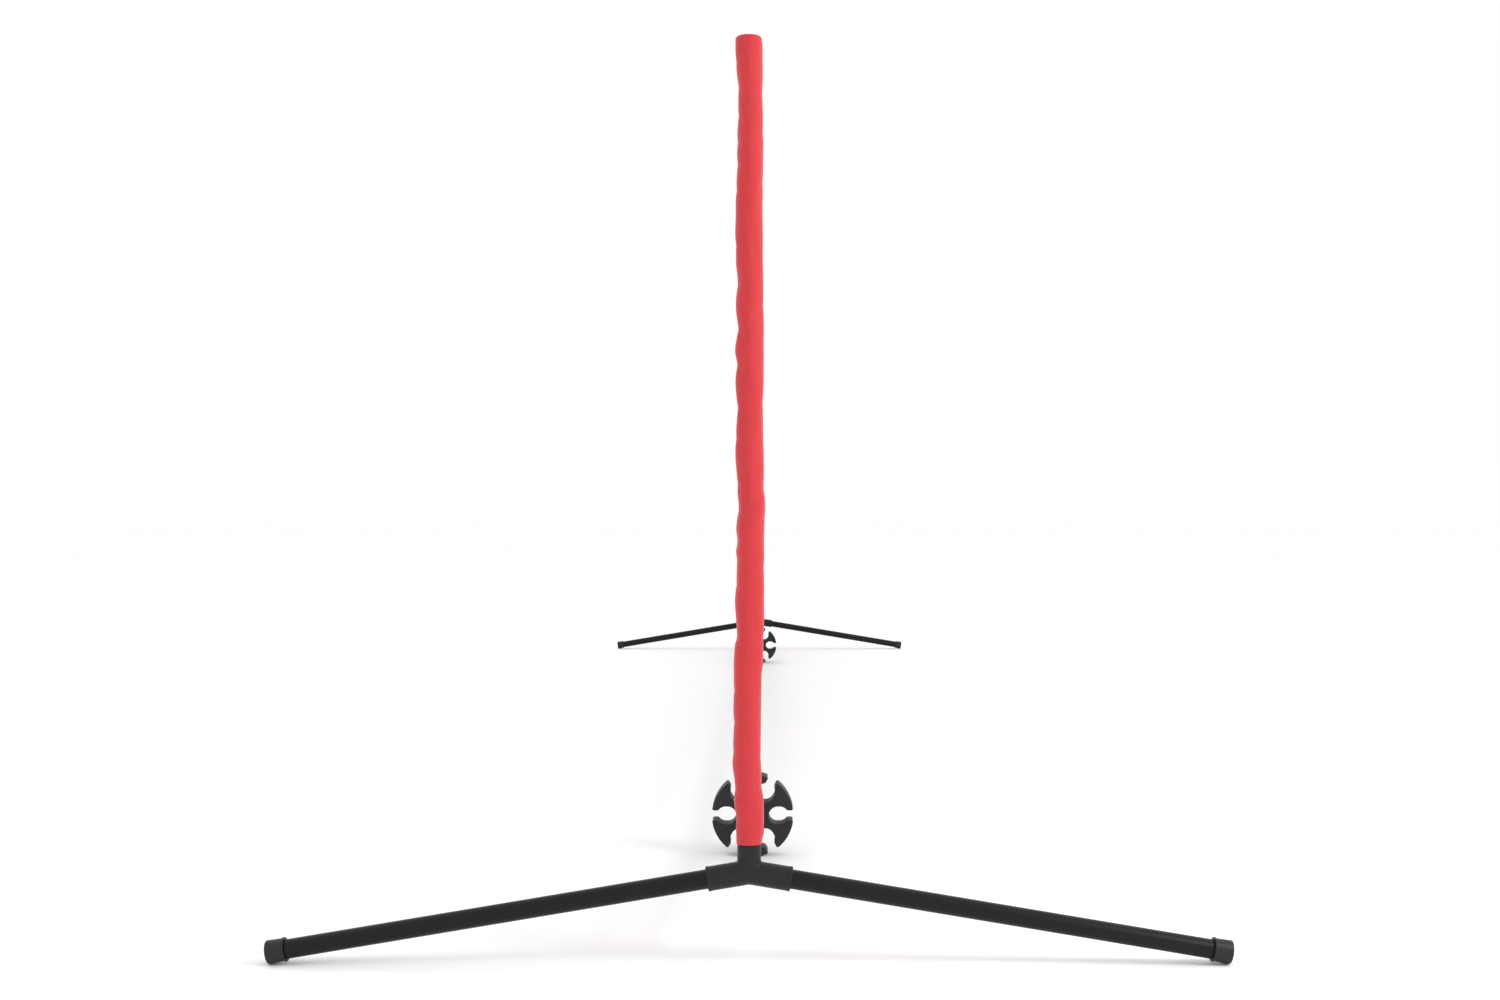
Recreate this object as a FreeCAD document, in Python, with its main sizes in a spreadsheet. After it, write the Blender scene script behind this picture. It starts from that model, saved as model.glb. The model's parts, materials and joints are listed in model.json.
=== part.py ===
import FreeCAD, Part
import math
import os
import Sketcher

# A portable practice net: two stands with a fabric-sleeved post each, a ground bar between
# them on two slotted support wheels, and the net. Millimetres. The net runs along Y, the
# front stand is at -Y, +Z is up, and the origin is on the floor under the middle of the net.

SIZES = {
    "post_spacing": 4000.0,
    "net_height": 914.0,
    "net_foot": 116.5,
    "net_sag": 22.0,
    "mesh_thick": 0.8,
    "tape_thick": 2.4,
    "top_tape_width": 50.0,
    "bottom_tape_width": 24.0,
    "sleeve_top": 911.6,
    "sleeve_foot": 118.7,
    "sleeve_outer": 26.0,
    "sleeve_wall": 0.9,
    "sleeve_flap": 42.0,
    "sleeve_round": 2.6,
    "tube_outer": 19.0,
    "tube_wall": 1.0,
    "leg_angle": 9.46,
    "leg_reach": 480.6,
    "cap_outer": 23.2,
    "cap_mouth": 22.4,
    "cap_length": 18.7,
    "cap_floor": 2.6,
    "cap_round": 1.2,
    "bead_stand": 0.8,
    "bead_length": 1.8,
    "bead_round": 0.5,
    "fit_gap": 0.05,
    "arm_outer": 24.0,
    "arm_reach": 42.2,
    "socket_outer": 23.5,
    "socket_floor": 13.0,
    "arm_round": 0.8,
    "plug_head": 3.0,
    "plug_stem": 15.0,
    "post_top_gap": 1.2,
    "wheel_outer": 106.0,
    "wheel_width": 34.0,
    "wheel_face": 525.0,
    "slot_radius": 11.6,
    "slot_inner": 32.6,
    "slot_outer": 35.1,
    "slot_mouth": 13.1,
    "mouth_overrun": 5.0,
    "lip_round": 2.2,
    "rim_round": 1.6,
    "running_gap": 0.075,
    "elbow_arm": 30.0,
    "elbow_web": 3.0,
    "ring_outer": 27.0,
    "ring_width": 8.0,
    "ring_gap": 0.3,
    "swage_outer": 16.8,
    "swage_length": 40.0,
    "swage_taper": 4.0,
    "swage_wall": 0.9,
    "bar_joint": 498.5,
    "button_outer": 6.0,
    "button_stand": 2.3,
    "button_inset": 20.0,
    "button_flange": 9.0,
    "button_round": 1.2,
    "leaf_length": 30.0,
    "leaf_width": 6.0,
    "leaf_thick": 0.7,
}
SLOTS = 6
STANDS = ("front", "back")
SIDES = (("left", -1.0), ("right", 1.0))

Vector = FreeCAD.Vector
Placement = FreeCAD.Placement
Rotation = FreeCAD.Rotation
UP = Vector(0, 0, 1)

doc = FreeCAD.newDocument("PracticeNet")
sheet = doc.addObject("Spreadsheet::Sheet", "Sizes")
nodes = []


def fill_sheet():
    """One row for each driving dimension: its name, and its value under an alias."""
    for row, (alias, value) in enumerate(SIZES.items(), start=1):
        sheet.set(f"A{row}", alias)
        sheet.set(f"B{row}", str(value))
        sheet.setAlias(f"B{row}", alias)
    doc.recompute()


def number(text):
    """The value of a sum of sizes, such as 'cap_length - cap_floor' or 'tube_outer/2'."""
    total, sign = 0.0, 1.0
    for token in text.split():
        if token in ("+", "-"):
            sign = 1.0 if token == "+" else -1.0
            continue
        name, _, divisor = token.partition("/")
        value = SIZES[name] if name in SIZES else float(name)
        total += sign * value / float(divisor or 1)
    return total


def formula(text):
    """The same sum, as an expression on the sheet's cells."""
    words = text.split()
    return " ".join("Sizes." + w if w.partition("/")[0] in SIZES else w for w in words)


# Where things are, worked out from the driving dimensions.
LEG_ANGLE = math.radians(SIZES["leg_angle"])
LEG_DROP = (SIZES["leg_reach"] - SIZES["cap_round"]) * math.sin(LEG_ANGLE)
CAP_DROP = number("cap_outer/2 - cap_round") * math.cos(LEG_ANGLE) + SIZES["cap_round"]
JUNCTION_HEIGHT = LEG_DROP + CAP_DROP
BAR_HEIGHT = number("wheel_outer/2")
KINK = number("wheel_face - elbow_arm - fit_gap")
BAR_FALL = math.atan2(JUNCTION_HEIGHT - BAR_HEIGHT, KINK)
BAR_DOWN = Vector(0, math.cos(BAR_FALL), -math.sin(BAR_FALL))
HALF_SPAN = number("post_spacing/2 - sleeve_flap")


def stand_place(stand):
    """Places a piece that is made about the front or back junction, with the net along its +Y."""
    half = number("post_spacing/2")
    if stand == "front":
        return Placement(Vector(0, -half, JUNCTION_HEIGHT), Rotation())
    return Placement(Vector(0, half, JUNCTION_HEIGHT), Rotation(UP, 180))


def along(start, direction):
    """A placement that starts at a point and turns +Z into a direction."""
    return Placement(start, Rotation(UP, direction))


def level(y):
    """A placement on the bar's level stretch, with +Z along the net and +X kept."""
    return Placement(Vector(0, y, BAR_HEIGHT), Rotation(Vector(1, 0, 0), -90))


def keep(thing, label, place):
    """Names a finished piece, places it and lists it for export."""
    thing.Label = label
    thing.Placement = place
    nodes.append(thing)
    return thing


def new_body(name):
    return doc.addObject("PartDesign::Body", "body_" + name)


def sketch_on(body, role, name):
    """A sketch on one of the body's own origin planes."""
    sketch = body.newObject("Sketcher::SketchObject", name)
    plane = next(f for f in body.Origin.OriginFeatures if f.Role == role)
    sketch.AttachmentSupport = [(plane, "")]
    sketch.MapMode = "FlatFace"
    return sketch


def bind(sketch, constraint, expression):
    """Adds a constraint and ties its value to the sheet."""
    index = sketch.addConstraint(constraint)
    sketch.setExpression(f"Constraints[{index}]", expression)


def draw_circle(sketch, radius):
    """A circle about the sketch's origin, whose radius is a sum of sizes."""
    circle = sketch.addGeometry(Part.Circle(Vector(), UP, number(radius)), False)
    bind(sketch, Sketcher.Constraint("Radius", circle, number(radius)), formula(radius))
    sketch.addConstraint(Sketcher.Constraint("Coincident", circle, 3, -1, 1))


def draw_slot(sketch, inner, outer, radius):
    """A slot with round ends, lying along the sketch's X axis."""
    size = number(radius)
    arcs = []
    for middle, turn in ((inner, 90), (outer, -90)):
        centre = Vector(number(middle), 0, 0)
        round_end = Part.Circle(centre, UP, size)
        first, last = math.radians(turn), math.radians(turn + 180)
        arc = sketch.addGeometry(Part.ArcOfCircle(round_end, first, last), False)
        sketch.addConstraint(Sketcher.Constraint("PointOnObject", arc, 3, -1))
        place = Sketcher.Constraint("DistanceX", -1, 1, arc, 3, number(middle))
        bind(sketch, place, formula(middle))
        bind(sketch, Sketcher.Constraint("Radius", arc, size), formula(radius))
        arcs.append(arc)
    inner_arc, outer_arc = arcs
    left, right = number(inner), number(outer)
    for start, end, first, second in (
        (Vector(right, size, 0), Vector(left, size, 0), (outer_arc, 2), (inner_arc, 1)),
        (Vector(left, -size, 0), Vector(right, -size, 0), (inner_arc, 2), (outer_arc, 1)),
    ):
        line = sketch.addGeometry(Part.LineSegment(start, end), False)
        sketch.addConstraint(Sketcher.Constraint("Tangent", first[0], first[1], line, 1))
        sketch.addConstraint(Sketcher.Constraint("Tangent", second[0], second[1], line, 2))


def draw_outline(sketch, points):
    """A closed outline of straight lines whose corners are pairs of sums of sizes."""
    at = [Vector(number(x), number(y), 0) for x, y in points]
    for start, end in zip(at, at[1:] + at[:1]):
        sketch.addGeometry(Part.LineSegment(start, end), False)
    for line, (x, y) in enumerate(points):
        after = (line + 1) % len(points)
        sketch.addConstraint(Sketcher.Constraint("Coincident", line, 2, after, 1))
        for kind, axis, text in (("DistanceX", -2, x), ("DistanceY", -1, y)):
            value = number(text)
            if value == 0:
                sketch.addConstraint(Sketcher.Constraint("PointOnObject", line, 1, axis))
            else:
                bind(sketch, Sketcher.Constraint(kind, -1, 1, line, 1, value), formula(text))


def pad(body, sketch, length, name, midplane=False):
    made = body.newObject("PartDesign::Pad", name)
    made.Profile = sketch
    made.Length = number(length)
    made.setExpression("Length", formula(length))
    made.Midplane = midplane
    return made


def cut_through(body, sketch, name):
    """A pocket that goes right through, both ways from its sketch."""
    made = body.newObject("PartDesign::Pocket", name)
    made.Profile = sketch
    made.Type = "ThroughAll"
    made.Midplane = True
    return made


def revolve(body, sketch, name):
    made = body.newObject("PartDesign::Revolution", name)
    made.Profile = sketch
    made.ReferenceAxis = (sketch, ["V_Axis"])
    made.Angle = 360
    return made


def round_edges(body, base, radius, name, wanted):
    """Rounds the edges of a body's last feature that wanted(edge) picks."""
    doc.recompute()
    picked = [f"Edge{i}" for i, e in enumerate(base.Shape.Edges, start=1) if wanted(e)]
    if not picked:
        raise RuntimeError(f"{name}: no edge to round")
    made = body.newObject("PartDesign::Fillet", name)
    made.Base = (base, picked)
    made.Radius = SIZES[radius]
    made.setExpression("Radius", "Sizes." + radius)
    return made


def cylinder(name, radius, length, place):
    made = doc.addObject("Part::Cylinder", name)
    made.setExpression("Radius", formula(radius))
    made.setExpression("Height", formula(length))
    made.Placement = place
    return made


def ball(name, radius, centre):
    made = doc.addObject("Part::Sphere", name)
    made.setExpression("Radius", formula(radius))
    made.Placement = Placement(centre, Rotation())
    return made


def fuse(name, pieces):
    made = doc.addObject("Part::MultiFuse", name)
    made.Shapes = pieces
    made.Refine = True
    return made


def cut(name, base, tool):
    made = doc.addObject("Part::Cut", name)
    made.Base = base
    made.Tool = tool
    return made


def round_rims(name, base, radius, wanted):
    """Rounds the edges of a boolean's result that wanted(edge) picks."""
    doc.recompute()
    size = SIZES[radius]
    made = doc.addObject("Part::Fillet", name)
    made.Base = base
    edges = enumerate(base.Shape.Edges, start=1)
    made.Edges = [(i, size, size) for i, e in edges if wanted(e)]
    if not made.Edges:
        raise RuntimeError(f"{name}: no edge to round")
    return made


def curve_of(edge):
    """An edge's curve, or None for a seam or an intersection curve that has no plain type."""
    try:
        return edge.Curve
    except TypeError:
        return None


def is_circle(edge, radius):
    """Whether an edge is a whole circle of this radius."""
    curve = curve_of(edge)
    if not isinstance(curve, Part.Circle) or not edge.isClosed():
        return False
    return abs(curve.Radius - radius) < 1e-4


def plain_tube(name, length, place):
    """A round tube cut square at both ends, from z = 0 up."""
    body = new_body(name)
    ring = sketch_on(body, "XY_Plane", "ring_" + name)
    draw_circle(ring, "tube_outer/2")
    draw_circle(ring, "tube_outer/2 - tube_wall")
    made = body.newObject("PartDesign::Pad", "length_" + name)
    made.Profile = ring
    made.Length = length
    return keep(body, name, place)


def base_connector(stand):
    """The moulded fitting that takes the post, both legs and the ground bar."""
    centre = Vector(0, 0, 0)
    arms = {
        "post": (UP, "socket_outer/2"),
        "left": (Vector(-math.cos(LEG_ANGLE), 0, -math.sin(LEG_ANGLE)), "arm_outer/2"),
        "right": (Vector(math.cos(LEG_ANGLE), 0, -math.sin(LEG_ANGLE)), "arm_outer/2"),
        "bar": (BAR_DOWN, "arm_outer/2"),
    }
    outsides = [ball("core_" + stand, "arm_outer/2", centre)]
    bores = []
    for arm, (way, radius) in arms.items():
        outside = cylinder(f"arm_{arm}_{stand}", radius, "arm_reach", along(centre, way))
        outsides.append(outside)
        floor = along(way * SIZES["socket_floor"], way)
        bores.append(cylinder(f"bore_{arm}_{stand}", "tube_outer/2 + fit_gap", "arm_reach", floor))
    shell = fuse("shell_" + stand, outsides)
    radii = (number("socket_outer/2"), number("arm_outer/2"))
    rounded = round_rims(
        "rims_" + stand, shell, "arm_round", lambda e: any(is_circle(e, r) for r in radii)
    )
    made = cut("connector_" + stand, rounded, fuse("bores_" + stand, bores))
    return keep(made, "base_connector_" + stand, stand_place(stand))


def leg(stand, side, sign):
    """One sloping leg: its tube, and the cap that it stands on. Left is -X on both stands."""
    turned_round = 1.0 if stand == "front" else -1.0
    way = Vector(turned_round * sign * math.cos(LEG_ANGLE), 0, -math.sin(LEG_ANGLE))
    name = f"{stand}_{side}"
    at = stand_place(stand)
    length = number("leg_reach - cap_floor - socket_floor")
    start = along(way * SIZES["socket_floor"], way)
    plain_tube("leg_tube_" + name, length, at.multiply(start))

    body = new_body("leg_cap_" + name)
    cup = sketch_on(body, "XZ_Plane", "cup_" + name)
    bore = "tube_outer/2 + fit_gap"
    draw_outline(cup, [
        ("0", "cap_length - cap_floor"),
        ("0", "cap_length"),
        ("cap_outer/2", "cap_length"),
        ("cap_mouth/2", "bead_length"),
        ("cap_mouth/2 + bead_stand", "bead_length"),
        ("cap_mouth/2 + bead_stand", "0"),
        (bore, "0"),
        (bore, "cap_length - cap_floor"),
    ])
    turned = revolve(body, cup, "turned_" + name)
    rim = round_edges(
        body, turned, "cap_round", "cap_rim_" + name,
        lambda e: is_circle(e, number("cap_outer/2")),
    )
    round_edges(
        body, rim, "bead_round", "cap_bead_" + name,
        lambda e: is_circle(e, number("cap_mouth/2 + bead_stand")),
    )
    start = along(way * number("leg_reach - cap_length"), way)
    keep(body, "leg_cap_" + name, at.multiply(start))


def post(stand):
    """The upright tube and the plug that closes its top."""
    at = stand_place(stand)
    top = number("sleeve_top - sleeve_wall - post_top_gap") - JUNCTION_HEIGHT
    tube_top = top - SIZES["plug_head"]
    start = Placement(Vector(0, 0, SIZES["socket_floor"]), Rotation())
    plain_tube("post_tube_" + stand, tube_top - SIZES["socket_floor"], at.multiply(start))

    body = new_body("post_plug_" + stand)
    profile = sketch_on(body, "XZ_Plane", "plug_profile_" + stand)
    stem = "tube_outer/2 - tube_wall - fit_gap"
    draw_outline(profile, [
        ("0", "0"),
        (stem, "0"),
        (stem, "plug_stem"),
        ("tube_outer/2", "plug_stem"),
        ("tube_outer/2", "plug_stem + plug_head"),
        ("0", "plug_stem + plug_head"),
    ])
    turned = revolve(body, profile, "plug_turned_" + stand)
    head = number("plug_stem + plug_head")
    round_edges(
        body, turned, "cap_round", "plug_rim_" + stand,
        lambda e: is_circle(e, number("tube_outer/2")) and abs(e.CenterOfMass.z - head) < 1e-3,
    )
    start = Placement(Vector(0, 0, tube_top - SIZES["plug_stem"]), Rotation())
    keep(body, "post_plug_" + stand, at.multiply(start))


def post_sleeve(stand):
    """The fabric pocket at the net's end: closed at the top, with a flap sewn to the net."""
    height = "sleeve_top - sleeve_foot"
    pocket = cylinder("pocket_" + stand, "sleeve_outer/2", height, Placement())
    flap = doc.addObject("Part::Box", "flap_" + stand)
    flap.setExpression("Length", "Sizes.tape_thick")
    flap.setExpression("Width", "Sizes.sleeve_flap - Sizes.sleeve_outer / 4")
    flap.setExpression("Height", formula(height))
    flap.Placement = Placement(Vector(-number("tape_thick/2"), number("sleeve_outer/4"), 0), Rotation())
    outside = fuse("sleeve_outside_" + stand, [pocket, flap])
    top = number(height)
    rounded = round_rims(
        "sleeve_top_" + stand, outside, "sleeve_round",
        lambda e: isinstance(curve_of(e), Part.Circle) and abs(e.CenterOfMass.z - top) < 1e-3,
    )
    inside = cylinder(
        "sleeve_inside_" + stand, "sleeve_outer/2 - sleeve_wall", height + " - sleeve_wall", Placement()
    )
    made = cut("sleeve_" + stand, rounded, inside)
    down = Placement(Vector(0, 0, SIZES["sleeve_foot"] - JUNCTION_HEIGHT), Rotation())
    keep(made, "post_sleeve_" + stand, stand_place(stand).multiply(down))


def net_panel(name, low, high, thick):
    """A band of the net, from one height to another, hanging in a shallow arc between the posts."""
    body = new_body(name)
    sketch = sketch_on(body, "YZ_Plane", "band_" + name)
    arc_radius = (HALF_SPAN ** 2 + SIZES["net_sag"] ** 2) / (2 * SIZES["net_sag"])
    reach = "(Sizes.post_spacing / 2 - Sizes.sleeve_flap)"
    arc_formula = f"({reach}^2 + Sizes.net_sag^2) / (2 * Sizes.net_sag)"
    ends = []
    for text in (low, high):
        level_at = number(text)
        left = Vector(-HALF_SPAN, level_at, 0)
        right = Vector(HALF_SPAN, level_at, 0)
        middle = Vector(0, level_at - SIZES["net_sag"], 0)
        arc = sketch.addGeometry(Part.Arc(left, middle, right), False)
        ends.append((arc, left, right, text))
    (low_arc, low_left, low_right, _), (high_arc, high_left, high_right, _) = ends
    left_side = sketch.addGeometry(Part.LineSegment(low_left, high_left), False)
    right_side = sketch.addGeometry(Part.LineSegment(low_right, high_right), False)
    # An arc's start is its left end here, because it hangs down and is drawn anticlockwise.
    for line, end in ((left_side, 1), (right_side, 2)):
        sketch.addConstraint(Sketcher.Constraint("Coincident", line, 1, low_arc, end))
        sketch.addConstraint(Sketcher.Constraint("Coincident", line, 2, high_arc, end))
        side = -1.0 if end == 1 else 1.0
        for where, text in ((1, low), (2, high)):
            x_at = Sketcher.Constraint("DistanceX", -1, 1, line, where, side * HALF_SPAN)
            bind(sketch, x_at, reach if side > 0 else "-" + reach)
            z_at = Sketcher.Constraint("DistanceY", -1, 1, line, where, number(text))
            bind(sketch, z_at, formula(text))
    for arc in (low_arc, high_arc):
        bind(sketch, Sketcher.Constraint("Radius", arc, arc_radius), arc_formula)
    pad(body, sketch, thick, "cloth_" + name, midplane=True)
    keep(body, name, Placement())


def net():
    """The mesh, with a tape sewn along its top and its bottom."""
    mesh_low = "net_foot + bottom_tape_width"
    mesh_high = "net_height - top_tape_width"
    net_panel("net_bottom_tape", "net_foot", mesh_low, "tape_thick")
    net_panel("net_mesh", mesh_low, mesh_high, "mesh_thick")
    net_panel("net_top_tape", mesh_high, "net_height", "tape_thick")


def bar_end(stand):
    """The sloping end tube of the ground bar, and the elbow that levels the bar out."""
    at = stand_place(stand)
    to_kink = KINK / math.cos(BAR_FALL)
    length = to_kink - number("socket_floor + elbow_web")
    start = along(BAR_DOWN * SIZES["socket_floor"], BAR_DOWN)
    plain_tube("ground_tube_end_" + stand, length, at.multiply(start))

    kink = Vector(0, KINK, BAR_HEIGHT - JUNCTION_HEIGHT)
    ways = {"high": BAR_DOWN * -1.0, "low": Vector(0, 1, 0)}
    outsides = [ball("elbow_core_" + stand, "arm_outer/2", kink)]
    bores = []
    for end, way in ways.items():
        outsides.append(cylinder(f"elbow_{end}_{stand}", "arm_outer/2", "elbow_arm", along(kink, way)))
        floor = along(kink + way * SIZES["elbow_web"], way)
        bores.append(cylinder(f"elbow_bore_{end}_{stand}", "tube_outer/2 + fit_gap", "elbow_arm", floor))
    shell = fuse("elbow_shell_" + stand, outsides)
    rounded = round_rims(
        "elbow_rims_" + stand, shell, "arm_round", lambda e: is_circle(e, number("arm_outer/2"))
    )
    made = cut("elbow_" + stand, rounded, fuse("elbow_bores_" + stand, bores))
    keep(made, "bar_elbow_" + stand, at)


def bar_tube(name, start, length, swaged, drilled):
    """A level tube of the ground bar from y = start. Its far end may be swaged to enter the next."""
    body = new_body(name)
    profile = sketch_on(body, "XZ_Plane", "profile_" + name)
    outer, inner = "tube_outer/2", "tube_outer/2 - tube_wall"
    end = str(length)
    if swaged:
        neck = end + " - swage_taper"
        tip = end + " + swage_length"
        male, male_bore = "swage_outer/2", "swage_outer/2 - swage_wall"
        outline = [
            (inner, "0"), (outer, "0"), (outer, neck), (male, end), (male, tip),
            (male_bore, tip), (male_bore, end), (inner, neck),
        ]
    else:
        outline = [(inner, "0"), (outer, "0"), (outer, end), (inner, end)]
    draw_outline(profile, outline)
    revolve(body, profile, "turned_" + name)
    made = body
    for hole in drilled:
        across = Placement(Vector(0, 0, hole), Rotation(Vector(1, 0, 0), 90))
        drill = cylinder(f"drill_{name}_{int(hole)}", "button_outer/2 + fit_gap", "tube_outer", across)
        made = cut(f"drilled_{name}_{int(hole)}", made, drill)
    return keep(made, name, level(start))


def ground_bar():
    """The three level tubes, from elbow to elbow, joined by swaged ends."""
    half = number("post_spacing/2")
    joint = SIZES["bar_joint"]
    first = -half + KINK + SIZES["elbow_web"]
    outer_length = -joint - first
    button = SIZES["button_inset"]
    bar_tube("ground_tube_mid_front", first, outer_length, True, [outer_length + button])
    middle = 2 * joint
    bar_tube("ground_tube_mid_center", -joint, middle, True, [button, middle + button])
    bar_tube("ground_tube_mid_back", joint, outer_length, False, [button])


def snap_button(stand, y):
    """The sprung button that locks a swaged joint, with its leaf inside the tube."""
    wall = number("swage_outer/2 - swage_wall")
    flange_top = math.sqrt(wall ** 2 - number("button_flange/2") ** 2) - SIZES["fit_gap"]
    flange_low = flange_top - SIZES["leaf_thick"]
    pin_length = number("tube_outer/2 + button_stand") - flange_low
    start = Placement(Vector(0, 0, flange_low), Rotation())
    pin = cylinder("pin_" + stand, "button_outer/2 - fit_gap", str(round(pin_length, 3)), start)
    rounded = round_rims(
        "pin_top_" + stand, pin, "button_round",
        lambda e: is_circle(e, number("button_outer/2 - fit_gap")) and e.CenterOfMass.z > wall,
    )
    flange = cylinder("flange_" + stand, "button_flange/2", "leaf_thick", start)
    leaf = doc.addObject("Part::Box", "leaf_" + stand)
    leaf.setExpression("Length", "Sizes.leaf_width")
    leaf.setExpression("Width", "Sizes.leaf_length")
    leaf.setExpression("Height", "Sizes.leaf_thick")
    corner = Vector(-number("leaf_width/2"), -number("button_flange/2"), flange_low)
    leaf.Placement = Placement(corner, Rotation())
    made = fuse("button_" + stand, [rounded, flange, leaf])
    keep(made, "snap_button_" + stand, Placement(Vector(0, y, BAR_HEIGHT), Rotation()))


def support_wheel(stand, near_face):
    """A thick moulded wheel with six round slots open at its rim."""
    body = new_body("support_wheel_" + stand)
    disc = sketch_on(body, "XY_Plane", "disc_" + stand)
    draw_circle(disc, "wheel_outer/2")
    draw_circle(disc, "tube_outer/2 + running_gap")
    pad(body, disc, "wheel_width", "rim_" + stand)

    round_slot = sketch_on(body, "XY_Plane", "slot_" + stand)
    draw_slot(round_slot, "slot_inner", "slot_outer", "slot_radius")
    slot_cut = cut_through(body, round_slot, "slot_cut_" + stand)
    mouth = sketch_on(body, "XY_Plane", "mouth_" + stand)
    draw_outline(mouth, [
        ("slot_outer", "0 - slot_mouth/2"),
        ("wheel_outer/2 + mouth_overrun", "0 - slot_mouth/2"),
        ("wheel_outer/2 + mouth_overrun", "slot_mouth/2"),
        ("slot_outer", "slot_mouth/2"),
    ])
    mouth_cut = cut_through(body, mouth, "mouth_cut_" + stand)

    pattern = body.newObject("PartDesign::PolarPattern", "slots_" + stand)
    pattern.Originals = [slot_cut, mouth_cut]
    pattern.Axis = (disc, ["N_Axis"])
    pattern.Angle = 360
    pattern.Occurrences = SLOTS
    body.Tip = pattern

    def is_lip(edge):
        on_rim = math.hypot(edge.CenterOfMass.x, edge.CenterOfMass.y) > number("slot_outer + slot_mouth/2")
        across = edge.Length > number("wheel_width") - 1
        return on_rim and across and isinstance(curve_of(edge), Part.Line)

    lips = round_edges(body, pattern, "lip_round", "lips_" + stand, is_lip)

    def on_face(edge):
        ends = [v.Point.z for v in edge.Vertexes]
        flat = max(ends) - min(ends) < 1e-3
        bore = is_circle(edge, number("tube_outer/2 + running_gap"))
        return flat and not bore
    round_edges(body, lips, "rim_round", "rims_" + stand, on_face)
    keep(body, "support_wheel_" + stand, level(near_face))


def stop_ring(stand, start):
    """The rubber ring that keeps a wheel against its elbow."""
    name = "wheel_stop_ring_" + stand
    body = new_body(name)
    ring = sketch_on(body, "XY_Plane", "ring_" + name)
    draw_circle(ring, "ring_outer/2")
    draw_circle(ring, "tube_outer/2")
    pad(body, ring, "ring_width", "width_" + name)
    keep(body, name, level(start))


def wheels():
    half = number("post_spacing/2")
    near = SIZES["wheel_face"]
    far = number("wheel_face + wheel_width")
    ring_gap = SIZES["ring_gap"]
    support_wheel("front", -half + near)
    support_wheel("back", half - far)
    stop_ring("front", -half + far + ring_gap)
    stop_ring("back", half - far - ring_gap - SIZES["ring_width"])


def check_and_write():
    """Refuses a failed or empty shape, then writes one file for each piece."""
    doc.recompute()
    for thing in doc.Objects:
        if "Invalid" in thing.State or "Error" in thing.State:
            raise RuntimeError(f"{thing.Name} is {thing.State}")
    labels = [thing.Label for thing in nodes]
    if len(set(labels)) != len(labels):
        raise RuntimeError("two pieces share a label")
    os.makedirs("parts", exist_ok=True)
    for thing in nodes:
        shape = thing.Shape
        if shape.isNull() or not shape.isValid() or shape.Volume <= 0:
            raise RuntimeError(f"{thing.Label} has no valid solid")
        shape.exportStep(f"parts/{thing.Label}.step")
        print(f"{thing.Label}: {len(shape.Solids)} solid, {shape.Volume / 1000:.2f} cm3")


fill_sheet()
for stand in STANDS:
    base_connector(stand)
    for side, sign in SIDES:
        leg(stand, side, sign)
    post(stand)
    post_sleeve(stand)
    bar_end(stand)
net()
ground_bar()
wheels()
snap_button("front", -SIZES["bar_joint"] + SIZES["button_inset"])
snap_button("back", SIZES["bar_joint"] + SIZES["button_inset"])
check_and_write()
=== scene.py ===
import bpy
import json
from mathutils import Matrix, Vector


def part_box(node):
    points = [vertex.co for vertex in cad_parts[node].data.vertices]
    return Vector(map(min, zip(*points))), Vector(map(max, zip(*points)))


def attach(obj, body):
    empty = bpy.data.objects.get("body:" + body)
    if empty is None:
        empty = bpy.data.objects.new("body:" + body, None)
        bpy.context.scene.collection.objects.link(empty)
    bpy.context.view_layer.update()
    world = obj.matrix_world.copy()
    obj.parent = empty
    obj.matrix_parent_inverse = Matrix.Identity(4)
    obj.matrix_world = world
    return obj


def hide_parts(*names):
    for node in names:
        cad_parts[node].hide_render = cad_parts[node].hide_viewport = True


bl_info = {
    "name": "Practice net",
    "version": (1, 0, 0),
    "blender": (4, 5, 0),
    "location": "View3D > Sidebar > Net",
    "description": "Dresses the frame of a portable practice net with cloth, netting and finishes",
    "category": "Object",
}

import json
import math
from collections import namedtuple

import bpy
from bpy.props import FloatProperty, FloatVectorProperty, IntProperty, PointerProperty
from mathutils import Matrix, Vector, noise

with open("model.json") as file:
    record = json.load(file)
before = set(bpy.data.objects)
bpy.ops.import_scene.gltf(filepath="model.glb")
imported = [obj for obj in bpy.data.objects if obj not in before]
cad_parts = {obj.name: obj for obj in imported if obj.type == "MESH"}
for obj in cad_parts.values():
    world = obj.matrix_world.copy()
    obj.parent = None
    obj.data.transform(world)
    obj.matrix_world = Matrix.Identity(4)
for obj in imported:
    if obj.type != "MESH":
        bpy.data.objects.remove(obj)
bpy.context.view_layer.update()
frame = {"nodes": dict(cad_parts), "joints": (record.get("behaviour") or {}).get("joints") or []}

MM = 0.001
STANDS = ("front", "back")

# Places and sizes that come from the frame.
FRONT_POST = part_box("post_tube_front")
BACK_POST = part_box("post_tube_back")
POST_Y = {
    "front": (FRONT_POST[0][1] + FRONT_POST[1][1]) / 2,
    "back": (BACK_POST[0][1] + BACK_POST[1][1]) / 2,
}
POST_RADIUS = (FRONT_POST[1][0] - FRONT_POST[0][0]) / 2
SLEEVE_LOW, SLEEVE_HIGH = (corner[2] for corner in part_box("post_sleeve_front"))
FLAP_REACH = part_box("post_sleeve_front")[1][1] - POST_Y["front"]
NET_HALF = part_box("net_mesh")[1][1]
TOP_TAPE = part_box("net_top_tape")
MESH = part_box("net_mesh")
BOTTOM_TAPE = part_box("net_bottom_tape")
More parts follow.
